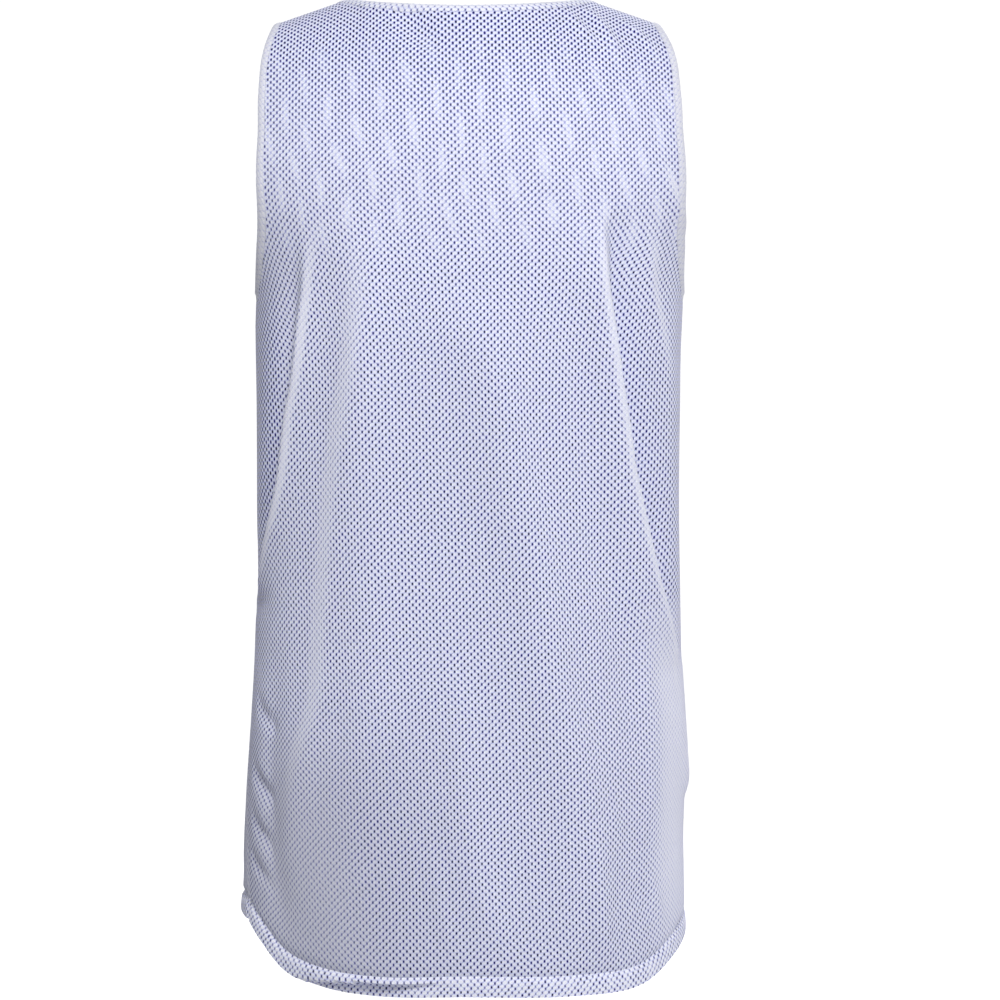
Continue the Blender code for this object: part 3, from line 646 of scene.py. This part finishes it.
def shell(name, net, near, far, attributes=None):
    """A closed wall over a net, from near to far below its points."""
    columns, rows = net.points.shape[0] - 1, net.points.shape[1] - 1
    mesh, column, row = grid_mesh(columns, rows)
    number = mesh.verts.layers.int["number"]
    depth = mesh.verts.layers.float.new("depth")
    bmesh.ops.recalc_face_normals(mesh, faces=mesh.faces)
    made = bmesh.ops.extrude_face_region(mesh, geom=list(mesh.faces))["geom"]
    for item in made:
        if isinstance(item, bmesh.types.BMVert):
            item[depth] = 1.0
            item.co.z = -0.01
    across = np.gradient(net.points, axis=0)
    up = np.gradient(net.points, axis=1)
    if (np.cross(across, up) * net.normals).sum(axis=2).mean() > 0.0:
        bmesh.ops.reverse_faces(mesh, faces=mesh.faces)
    data = bpy.data.meshes.new(name)
    mesh.to_mesh(data)
    mesh.free()
    count = len(data.vertices)
    numbers = np.zeros(count, dtype=np.int32)
    data.attributes["number"].data.foreach_get("value", numbers)
    depths = np.zeros(count, dtype=np.float32)
    data.attributes["depth"].data.foreach_get("value", depths)
    column, row = column[numbers], row[numbers]
    below = near + (far - near) * depths
    points = net.points[column, row] - net.normals[column, row] * below[:, None]
    data.vertices.foreach_set("co", points.astype(np.float32).ravel())
    place_uv(data, net.across[column, row], net.along[column, row])
    for label, values in (attributes or {}).items():
        layer = data.attributes.new(label, "FLOAT", "POINT")
        layer.data.foreach_set("value", values[column, row].astype(np.float32))
    data.attributes.remove(data.attributes["number"])
    data.attributes.remove(data.attributes["depth"])
    return dress(name, data)


def place_uv(data, across, along):
    corners = np.zeros(len(data.loops), dtype=np.int32)
    data.loops.foreach_get("vertex_index", corners)
    uv = np.stack([across[corners], along[corners]], axis=1)
    layer = data.uv_layers.new(name="cloth")
    layer.data.foreach_set("uv", uv.astype(np.float32).ravel())


def add_object(name, data):
    made = bpy.data.objects.new(name, data)
    bpy.context.scene.collection.objects.link(made)
    return made


def dress(name, data):
    data.update()
    data.shade_smooth()
    data.set_sharp_from_angle(angle=np.radians(SHARP_ANGLE))
    return add_object(name, data)


def settle(piece, look, slot, *nodes):
    """Gives a finished piece its material and body, and hides the solids it stands in for."""
    piece.data.materials.append(look)
    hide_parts(*nodes)
    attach(piece, "root")
    return piece


# Materials

class Nodes:
    """Short calls to lay out one node tree."""

    def __init__(self, tree):
        self.tree = tree
        self.step = 0

    def node(self, kind, **settings):
        made = self.tree.nodes.new(kind)
        made.location = (self.step * 40, -(self.step % 7) * 160)
        self.step += 1
        for key, value in settings.items():
            setattr(made, key, value)
        return made

    def feed(self, socket, value):
        if isinstance(value, bpy.types.NodeSocket):
            self.tree.links.new(value, socket)
        else:
            socket.default_value = value

    def math(self, operation, *values, clamp=False):
        made = self.node("ShaderNodeMath", operation=operation, use_clamp=clamp)
        for socket, value in zip(made.inputs, values):
            self.feed(socket, value)
        return made.outputs[0]

    def vector(self, operation, *values):
        made = self.node("ShaderNodeVectorMath", operation=operation)
        for socket, value in zip(made.inputs, values):
            self.feed(socket, value)
        return made.outputs["Value" if operation in ("LENGTH", "DOT_PRODUCT") else "Vector"]

    def ramp(self, value, low, high, to_low=0.0, to_high=1.0):
        made = self.node("ShaderNodeMapRange", interpolation_type="SMOOTHSTEP")
        for socket, item in zip(made.inputs, (value, low, high, to_low, to_high)):
            self.feed(socket, item)
        return made.outputs[0]

    def blend(self, share, first, second):
        made = self.node("ShaderNodeMix", data_type="RGBA")
        self.feed(made.inputs["Factor"], share)
        self.feed(made.inputs["A"], first)
        self.feed(made.inputs["B"], second)
        return made.outputs["Result"]

    def noise(self, vector, scale, detail=2.0, rough=0.5):
        made = self.node("ShaderNodeTexNoise")
        self.feed(made.inputs["Vector"], vector)
        self.feed(made.inputs["Scale"], scale)
        self.feed(made.inputs["Detail"], detail)
        self.feed(made.inputs["Roughness"], rough)
        return made.outputs["Fac"]

    def distance(self, x, y, wide, tall):
        joined = self.node("ShaderNodeCombineXYZ")
        self.feed(joined.inputs["X"], self.math("MULTIPLY", x, wide))
        self.feed(joined.inputs["Y"], self.math("MULTIPLY", y, tall))
        return self.vector("LENGTH", joined.outputs[0])

    def nearest(self, across, along, wide, tall):
        """Distance to the nearest point of a staggered net, stretched by wide and tall."""
        x, y = self.math("PINGPONG", across, 0.5), self.math("PINGPONG", along, 0.5)
        opposite = self.math("SUBTRACT", 0.5, x), self.math("SUBTRACT", 0.5, y)
        first, second = self.distance(x, y, wide, tall), self.distance(*opposite, wide, tall)
        return self.math("MINIMUM", first, second)

    def group(self, tree, **values):
        made = self.node("ShaderNodeGroup", node_tree=tree)
        for key, value in values.items():
            self.feed(made.inputs[key.replace("_", " ")], value)
        return made.outputs


def new_group(name, inputs, outputs):
    tree = bpy.data.node_groups.new(name, "ShaderNodeTree")
    for label, kind in inputs:
        tree.interface.new_socket(label, in_out="INPUT", socket_type=kind)
    for label, kind in outputs:
        tree.interface.new_socket(label, in_out="OUTPUT", socket_type=kind)
    nodes = Nodes(tree)
    entry = nodes.node("NodeGroupInput").outputs
    way_out = nodes.node("NodeGroupOutput").inputs
    return nodes, entry, way_out


FLOAT, VECTOR, COLOUR = "NodeSocketFloat", "NodeSocketVector", "NodeSocketColor"


def net_knit_group():
    """Knitted mesh: staggered holes, the grooves that join them slantwise, and a painted
    highlight on the yarn beside each hole.

    Place is the place on the cloth in metres, Closed how far the holes are pulled shut.
    """
    inputs = [("Place", VECTOR), ("Pitch Across", FLOAT), ("Pitch Along", FLOAT),
              ("Hole Width", FLOAT), ("Hole Height", FLOAT), ("Closed", FLOAT)]
    outputs = [("Hole", FLOAT), ("Halo", FLOAT), ("Groove", FLOAT), ("Glint", FLOAT),
               ("Height", FLOAT), ("Yarn", FLOAT)]
    n, entry, way_out = new_group("net_knit", inputs, outputs)
    split = n.node("ShaderNodeSeparateXYZ")
    n.feed(split.inputs[0], entry["Place"])
    across = n.math("DIVIDE", split.outputs["X"], entry["Pitch Across"])
    along = n.math("DIVIDE", split.outputs["Y"], entry["Pitch Along"])
    wide = n.math("DIVIDE", entry["Pitch Across"], entry["Hole Width"])
    tall = n.math("DIVIDE", entry["Pitch Along"], entry["Hole Height"])
    to_hole = n.nearest(across, along, wide, tall)
    uneven = n.math("MULTIPLY", n.math("SUBTRACT", n.noise(entry["Place"], 420.0, 1.0), 0.5), 0.7)
    to_hole = n.math("ADD", to_hole, uneven)
    to_hole = n.math("ADD", to_hole, n.math("MULTIPLY", entry["Closed"], 0.5))
    hole = n.ramp(to_hole, 1.15, 0.80)
    hole = n.math("MULTIPLY", hole, n.math("SUBTRACT", 1.0, entry["Closed"]), clamp=True)
    slants = (n.math("PINGPONG", n.math("SUBTRACT", across, along), 0.5),
              n.math("PINGPONG", n.math("ADD", across, along), 0.5))
    turn = n.ramp(n.noise(entry["Place"], 38.0, 2.0), 0.40, 0.60)
    grooves = [n.ramp(slant, 0.20, 0.0) for slant in slants]
    weighed = [n.math("MULTIPLY", grooves[0], n.ramp(turn, 0.0, 1.0, 0.40, 1.0)),
               n.math("MULTIPLY", grooves[1], n.ramp(turn, 0.0, 1.0, 1.0, 0.40))]
    drawn = n.ramp(entry["Closed"], 0.15, 0.80, 1.0, 0.25)
    groove = n.math("MULTIPLY", n.math("MAXIMUM", *weighed), drawn)
    puff = n.math("MULTIPLY", n.math("MINIMUM", *slants), 2.0)
    puff = n.math("POWER", puff, 0.7)
    yarn = n.noise(n.vector("MULTIPLY", entry["Place"], (1.0, 0.55, 1.0)), 2100.0, 2.0, 0.65)
    height = n.math("SUBTRACT", n.math("MULTIPLY", puff, 0.4), n.math("MULTIPLY", hole, 0.6))
    height = n.math("ADD", height, n.math("MULTIPLY", yarn, 0.12))
    # painted highlight: a bright spot on the yarn just off each hole
    beside_hole = n.nearest(n.math("ADD", across, 0.26), n.math("ADD", along, 0.07), wide, tall)
    glint = n.ramp(beside_hole, 1.45, 0.60)
    glint = n.math("MULTIPLY", glint, n.ramp(n.noise(entry["Place"], 260.0, 1.0), 0.35, 0.60, 0.25, 1.0))
    n.feed(way_out["Hole"], hole)
    n.feed(way_out["Halo"], n.ramp(to_hole, 2.1, 0.9))
    n.feed(way_out["Groove"], groove)
    n.feed(way_out["Glint"], glint)
    n.feed(way_out["Height"], height)
    n.feed(way_out["Yarn"], yarn)
    return n.tree


def beat_group():
    """Pale blotches where the holes of two layers of mesh fall on each other."""
    inputs = [("Place", VECTOR), ("Pitch Across", FLOAT), ("Pitch Along", FLOAT), ("Slant", FLOAT)]
    n, entry, way_out = new_group("layers_beating", inputs, [("Blotch", FLOAT)])
    drift = n.node("ShaderNodeTexNoise")
    for label, value in (("Vector", entry["Place"]), ("Scale", 9.0), ("Detail", 1.0)):
        n.feed(drift.inputs[label], value)
    shift = n.vector("MULTIPLY", n.vector("SUBTRACT", drift.outputs["Color"], (0.5, 0.5, 0.5)),
                     (0.045, 0.045, 0.0))
    split = n.node("ShaderNodeSeparateXYZ")
    n.feed(split.inputs[0], n.vector("ADD", entry["Place"], shift))
    along = n.math("DIVIDE", split.outputs["Y"], entry["Pitch Along"])
    across = n.math("DIVIDE", split.outputs["X"], entry["Pitch Across"])
    across = n.math("ADD", across, n.math("MULTIPLY", along, entry["Slant"]))
    n.feed(way_out["Blotch"], n.ramp(n.nearest(across, along, 12.0, 2.6), 1.45, 0.10))
    return n.tree


# the last colour is that of the painted highlight beside each hole
Knit = namedtuple("Knit", "yarn shade halo hole hole_deep glint")
WHITE_KNIT = Knit((0.80, 0.81, 0.94), (0.29, 0.32, 0.60), (0.48, 0.51, 0.88),
                  (0.008, 0.008, 0.150), (0.004, 0.004, 0.060), (0.91, 0.93, 1.0))
BLUE_KNIT = Knit((0.026, 0.032, 0.170), (0.012, 0.014, 0.080), (0.030, 0.036, 0.190),
                 (0.30, 0.31, 0.40), (0.10, 0.10, 0.15), (0.05, 0.06, 0.25))
EDGE_KNIT = Knit((0.88, 0.89, 1.0), (0.32, 0.35, 0.68), (0.50, 0.53, 0.93),
                 (0.008, 0.008, 0.130), (0.004, 0.004, 0.050), (0.94, 0.95, 1.0))
SURFACE = {"Specular IOR Level": 0.12, "Sheen Weight": 0.12, "Sheen Roughness": 0.45,
           "Sheen Tint": (0.84, 0.87, 1.0, 1.0)}
PITCH_ACROSS = 0.00476
PITCH_ALONG = 0.00495
HOLE_WIDTH = 0.00062
HOLE_HEIGHT = 0.00102
BLOTCHES = {"Pitch_Across": 0.0345, "Pitch_Along": 0.0400, "Slant": -0.22}
BUMP = {"Distance": 0.0005, "Strength": 0.6}


def knit_material(name, knit, tree, beat=None, doubled=False):
    look = bpy.data.materials.new(name)
    look.use_nodes = True
    n = Nodes(look.node_tree)
    shader = look.node_tree.nodes["Principled BSDF"]
    uv = n.node("ShaderNodeUVMap", uv_map="cloth").outputs[0]
    closed = n.node("ShaderNodeAttribute", attribute_name="closed").outputs["Fac"]
    # painted shade: the shade attribute darkens the mesh over the lower left
    shade = n.node("ShaderNodeAttribute", attribute_name="shade").outputs["Fac"]
    greying_and_painted_shade = n.math("SUBTRACT", 1.0, shade)
    lighten = 0.0
    # on the doubled edges the shut mesh is made greyer instead, with no painted shade
    if doubled:
        greying_and_painted_shade = n.math("SUBTRACT", 1.0, n.math("MULTIPLY", closed, 0.20))
        closed = n.math("MAXIMUM", closed, n.ramp(n.noise(uv, 130.0, 1.0), 0.40, 0.62, 0.0, 0.35))
    if beat:
        upper = n.node("ShaderNodeAttribute", attribute_name="moire").outputs["Fac"]
        blotch = n.group(beat, Place=uv, **BLOTCHES)["Blotch"]
        pale = n.math("MULTIPLY", n.math("MULTIPLY", blotch, upper), 0.55)
        closed = n.math("ADD", closed, pale)
        lighten = n.math("MULTIPLY", upper, n.ramp(blotch, 0.0, 1.0, 0.12, 0.78))
    out = n.group(tree, Place=uv, Pitch_Across=PITCH_ACROSS, Pitch_Along=PITCH_ALONG,
                  Hole_Width=HOLE_WIDTH, Hole_Height=HOLE_HEIGHT, Closed=closed)
    colour = n.blend(n.math("MULTIPLY", out["Groove"], 0.75), (*knit.yarn, 1.0), (*knit.shade, 1.0))
    sheer = n.math("MULTIPLY", out["Halo"], n.math("SUBTRACT", 0.9, n.math("MULTIPLY", closed, 0.75)))
    colour = n.blend(sheer, colour, (*knit.halo, 1.0))
    # the painted highlight is mixed into the colour beside each hole
    colour = n.blend(n.math("MULTIPLY", out["Glint"], 0.8), colour, (*knit.glint, 1.0))
    grain = n.node("ShaderNodeHueSaturation")
    n.feed(grain.inputs["Value"], n.math("MULTIPLY", greying_and_painted_shade, n.ramp(out["Yarn"], 0.30, 0.70, 0.84, 1.09)))
    n.feed(grain.inputs["Color"], colour)
    deep = n.ramp(n.noise(uv, 160.0, 1.0), 0.42, 0.62)
    hole = n.blend(deep, (*knit.hole, 1.0), (*knit.hole_deep, 1.0))
    hole = n.blend(lighten, hole, (*knit.halo, 1.0))
    colour = n.blend(out["Hole"], grain.outputs[0], hole)
    n.feed(shader.inputs["Base Color"], colour)
    bump = n.node("ShaderNodeBump")
    for label, value in (*BUMP.items(), ("Height", out["Height"])):
        n.feed(bump.inputs[label], value)
    n.feed(shader.inputs["Normal"], bump.outputs[0])
    n.feed(shader.inputs["Roughness"], n.ramp(out["Hole"], 0.0, 1.0, 0.80, 1.0))
    for label, value in SURFACE.items():
        shader.inputs[label].default_value = value
    return look


# Pieces

FINE_COLUMNS = 220
FINE_LOW = 122
FINE_HIGH = 80
CLOSE_ROWS = 1.5             # rows lie closer just over the underarm
SEAM_SHUT = {"back": 0.9, "front": 0.6}      # how far the side seams hold the mesh shut,
SEAM_SHUT_WIDTH = 0.0022                     # and how far from them
SHOULDER_OPEN = 0.30         # how far the mesh is pulled open over the shoulders
ARMHOLE_SHUT, NECK_SHUT = (1.0, 0.85), (0.80, 0.30)     # at the turned edge, and by the panel


def shut_mask(panel, sigma, way, level):
    """How far the holes of a panel are drawn shut, by folds and by the side seams."""
    seam = np.exp(-((1.0 - np.abs(sigma)) * PANEL_HALF / SEAM_SHUT_WIDTH) ** 2)
    seam = np.where(level < UNDERARM_Z, SEAM_SHUT[panel] * seam, 0.0)
    folds = crease_field(way, level)[1] - SHOULDER_OPEN * smooth_step(level, -0.130, -0.040)
    if panel == "front":
        low = smooth_step(np.abs(way), 0.290, 0.225) * smooth_step(-level, 0.480, 0.600)
        folds = np.maximum(folds, 0.45 * low)
    return folds + (1.0 - folds) * seam


def shade_mask(panel, way, level):
    """How much painted shade darkens the mesh of the lower left, on the back and on the front by the left
    seam.
    """
    if panel == "back":
        return 0.23 * smooth_step(way, -0.020, 0.105) * smooth_step(-level, 0.490, 0.600)
    return 0.25 * smooth_step(way, 0.300, 0.235) * smooth_step(-level, 0.490, 0.600) * (way > 0.0)


def moire_mask(way, level):
    """Where the holes of the two layers beat against each other."""
    upper = smooth_step(level, -0.205, -0.155) * smooth_step(level, -0.030, -0.095)
    around = np.abs(way)
    return upper * smooth_step(around, 0.30, 0.16) + 0.6 * upper * smooth_step(around, 0.26, 0.33)


def spread(panel, sigma, q, inset):
    """Only the outer columns of a panel follow the armhole; the others run on smoothly."""
    left = sigma > 0.0
    z = form_height(sigma, q, inset)
    edge = edge_angle(panel, z, left, inset)
    calm = mix(edge_angle(panel, np.minimum(z, -0.29), left, inset),
               edge_angle(panel, np.maximum(z, -0.15), left, inset), smooth_step(z, -0.29, -0.12))
    sigma = sigma * mix(calm, edge, sigma**8) / edge
    drop = shoulder_height(sigma, inset) - z
    rolled = ROLL_LENGTH * (1.0 - np.arcsin(np.clip(1.0 - drop / SHOULDER_ROLL, 0.0, 1.0)) / (0.5 * np.pi))
    moved = np.where(drop > SHOULDER_ROLL, drop + ROLL_LENGTH - SHOULDER_ROLL, rolled)
    return sigma, np.where(z < -0.12, moved, q)


def panel_net(panel):
    inset = EDGE_BAND + GAP
    columns = np.linspace(0.0, COLUMNS, FINE_COLUMNS + 1)
    high = np.linspace(0.0, 1.0, FINE_HIGH + 1)[1:] ** CLOSE_ROWS
    rows = np.concatenate([np.linspace(0.0, LOW_ROWS, FINE_LOW + 1), LOW_ROWS + HIGH_ROWS * high])
    column, row = np.meshgrid(columns, rows, indexing="ij")
    sigma = panel_sigma(column, row, inset)
    sigma, q = spread(panel, sigma, panel_q(panel, sigma, row, inset), inset)
    net = net_of(panel, sigma, q, inset)
    way, level = fold_place(panel, sigma, q, inset)
    return net, {"closed": shut_mask(panel, sigma, way, level), "moire": moire_mask(way, level),
                 "shade": shade_mask(panel, way, level)}


def hem_net(panel):
    inset = EDGE_BAND + GAP
    columns = np.linspace(0.0, COLUMNS, FINE_COLUMNS + 1)
    across_band = np.linspace(0.0, 1.0, 9)
    column, row = np.meshgrid(columns, across_band, indexing="ij")
    sigma = panel_sigma(column, 0.0 * row, inset)
    q = hem_q(panel, sigma, inset) - (HEM_BAND + 0.8 * GAP) * row
    net = net_of(panel, sigma, q, inset)
    bulge = 0.0004 * np.sin(np.pi * row) ** 0.6 + HEM_FLARE * (1.0 - row)
    return net._replace(points=net.points + net.normals * bulge[..., None])


def neck_line(inset):
    place = np.arange(96) / 96 - 0.5
    sigma = neck_sigma(inset) * np.sin(place * np.pi)
    return ("back", sigma, top_q("back", sigma, inset)), ("front", -sigma, top_q("front", -sigma, inset))


def armhole_line(sign):
    rows = LOW_ROWS + HIGH_ROWS * np.linspace(0.0, 1.0, HIGH_ROWS * 8 + 1) ** CLOSE_ROWS
    sigma = np.full(len(rows) - 1, sign)

    def stretches(inset):
        back = panel_q("back", sigma, rows[:-1], inset)
        front = panel_q("front", sigma, rows[:0:-1], inset)
        return ("back", sigma, back), ("front", sigma, front)

    return stretches


def band(name, stretches, shut):
    """A turned edge: a closed strip from the edge to the panels, a little puffed."""
    shares = np.linspace(0.0, 1.0, 6)
    lines = []
    for share in shares:
        inset = EDGE_BAND * share
        lines.append(np.concatenate([cloth(*stretch, inset) for stretch in stretches(inset)]))
    points = np.stack(lines, axis=1)
    ring = np.concatenate([points[-1:], points, points[:1]])
    normals = unit(np.cross(np.gradient(ring, axis=0), np.gradient(ring, axis=1)))[1:-1]
    centre = points.mean(axis=(0, 1))
    if (normals * (points - centre)).sum() < 0.0:
        normals = -normals
    puff = 0.0006 * np.sin(np.pi * shares) ** 0.6
    outer = points + normals * puff[None, :, None]
    count = len(points)
    mesh, column, row = grid_mesh(count, len(shares) - 1)
    number = mesh.verts.layers.int["number"]
    column %= count
    steps = np.linalg.norm(np.diff(points[:, 0], axis=0, append=points[:1, 0]), axis=1)
    along = np.concatenate([[0.0], np.cumsum(steps)])
    for vertex in mesh.verts:
        vertex.co = outer[column[vertex[number]], row[vertex[number]]]
    uv = mesh.loops.layers.uv.new("cloth")
    closing = mesh.verts.layers.float.new("closed")
    for vertex in mesh.verts:
        vertex[closing] = mix(*shut, min(1.6 * shares[row[vertex[number]]], 1.0))
    width = np.arange(len(shares)) * EDGE_BAND / (len(shares) - 1)
    for face in mesh.faces:
        cells = [column[loop.vert[number]] for loop in face.loops]
        wraps = max(cells) - min(cells) > 1
        for loop, cell in zip(face.loops, cells):
            cell = count if wraps and cell == 0 else cell
            loop[uv].uv = (along[cell], width[row[loop.vert[number]]])
    bmesh.ops.remove_doubles(mesh, verts=mesh.verts, dist=1e-6)
    bmesh.ops.recalc_face_normals(mesh, faces=mesh.faces)
    made = bmesh.ops.extrude_face_region(mesh, geom=list(mesh.faces))["geom"]
    for item in made:
        if isinstance(item, bmesh.types.BMVert):
            place = column[item[number]], row[item[number]]
            item.co = points[place] - normals[place] * WALL
    if mesh.calc_volume(signed=True) < 0.0:
        bmesh.ops.reverse_faces(mesh, faces=mesh.faces)
    data = bpy.data.meshes.new(name)
    mesh.to_mesh(data)
    mesh.free()
    data.attributes.remove(data.attributes["number"])
    return dress(name, data)


def make_jersey():
    knit = net_knit_group()
    white = knit_material("white_mesh", WHITE_KNIT, knit, beat=beat_group())
    blue = knit_material("blue_mesh", BLUE_KNIT, knit)
    edge = knit_material("white_edge", EDGE_KNIT, knit, doubled=True)
    neck = band("neck_turned_edge", neck_line, NECK_SHUT)
    settle(neck, edge, "white_edge", "neck_edge")
    armholes = []
    for side, sign in (("left", 1.0), ("right", -1.0)):
        piece = band(f"armhole_turned_edge_{side}", armhole_line(sign), ARMHOLE_SHUT)
        armholes.append(settle(piece, edge, "white_edge", f"armhole_edge_{side}"))
    for panel, edges in (("back", [neck]), ("front", armholes)):
        net, masks = panel_net(panel)
        hem = shell(f"{panel}_hem", hem_net(panel), 0.0, WALL)
        settle(hem, edge, "white_edge", f"hem_{panel}")
        outer = shell(f"{panel}_panel_white", net, 0.0, LAYER_SHOWN, masks)
        settle(outer, white, "white_mesh", f"{panel}_white")
        start = LAYER + GAP
        inner = shell(f"{panel}_panel_blue", net, start, start + LAYER_SHOWN, masks)
        settle(inner, blue, "blue_mesh", f"{panel}_blue")


# Studio

CAMERA_PLACE = (-0.02274, 3.0, -0.3654)
CAMERA_LENS = 147.2
FLOOR_Z = -0.80
WORLD_LIGHT, WORLD_SEEN = 0.02, 1.05     # the world as a light, and as the camera sees it
FLOOR_RADIUS, FLOOR_GLOW = 2.6, 0.70     # the glow is only seen by the camera
AIM = Vector((0.0, 0.0, -0.35))
LAMP_HEIGHT = 1.0
Lamp = namedtuple("Lamp", "name place width power")
LAMPS = (
    Lamp("above_camera", (-0.1, 1.85, 1.40), 1.0, 50.5),
    Lamp("left_high", (1.3, 1.4, 0.9), 1.0, 7.5),
    Lamp("left_side", (2.6, 0.9, 0.2), 1.0, 1.5),
    Lamp("right_side", (-2.8, 0.2, -0.1), 1.0, 13.0),
    Lamp("right_low", (-2.2, 1.4, -0.8), 1.0, 13.0),
    Lamp("front_high", (-0.4, -2.3, 1.4), 1.2, 36.0),
    Lamp("front_right", (-2.0, -2.0, 0.4), 1.2, 16.0),
    Lamp("front_left", (1.2, -2.6, 0.2), 1.2, 4.0),
)


def area_light(lamp):
    data = bpy.data.lights.new(lamp.name, "AREA")
    data.shape = "RECTANGLE"
    data.size, data.size_y = lamp.width, LAMP_HEIGHT
    data.energy = lamp.power
    made = add_object(lamp.name, data)
    made.location = lamp.place
    made.rotation_euler = (AIM - Vector(lamp.place)).to_track_quat("-Z", "Y").to_euler()


def make_studio():
    scene = bpy.context.scene
    scene.view_settings.view_transform = "Standard"
    lens = bpy.data.cameras.new("camera")
    lens.lens = CAMERA_LENS
    camera = add_object("camera", lens)
    camera.location = CAMERA_PLACE
    camera.rotation_euler = (np.pi / 2, 0.0, np.pi)
    scene.camera = camera

    world = bpy.data.worlds.new("studio")
    scene.world = world
    world.use_nodes = True
    n = Nodes(world.node_tree)
    background = world.node_tree.nodes["Background"]
    seen = n.node("ShaderNodeLightPath").outputs["Is Camera Ray"]
    n.feed(background.inputs["Color"], (1.0, 1.0, 1.0, 1.0))
    n.feed(background.inputs["Strength"], n.ramp(seen, 0.0, 1.0, WORLD_LIGHT, WORLD_SEEN))

    floor_mesh = bmesh.new()
    bmesh.ops.create_circle(floor_mesh, cap_ends=True, segments=96, radius=FLOOR_RADIUS)
    bmesh.ops.translate(floor_mesh, verts=floor_mesh.verts, vec=(0.0, 0.0, FLOOR_Z))
    data = bpy.data.meshes.new("floor")
    floor_mesh.to_mesh(data)
    floor_mesh.free()
    floor = add_object("floor", data)
    pale = bpy.data.materials.new("pale_floor")
    pale.use_nodes = True
    n = Nodes(pale.node_tree)
    shader = pale.node_tree.nodes["Principled BSDF"]
    shader.inputs["Base Color"].default_value = (0.80, 0.80, 0.80, 1.0)
    shader.inputs["Roughness"].default_value = 0.9
    shader.inputs["Emission Color"].default_value = (1.0, 1.0, 1.0, 1.0)
    seen = n.node("ShaderNodeLightPath").outputs["Is Camera Ray"]
    n.feed(shader.inputs["Emission Strength"], n.math("MULTIPLY", seen, FLOOR_GLOW))
    data.materials.append(pale)

    for lamp in LAMPS:
        area_light(lamp)


make_studio()
make_jersey()
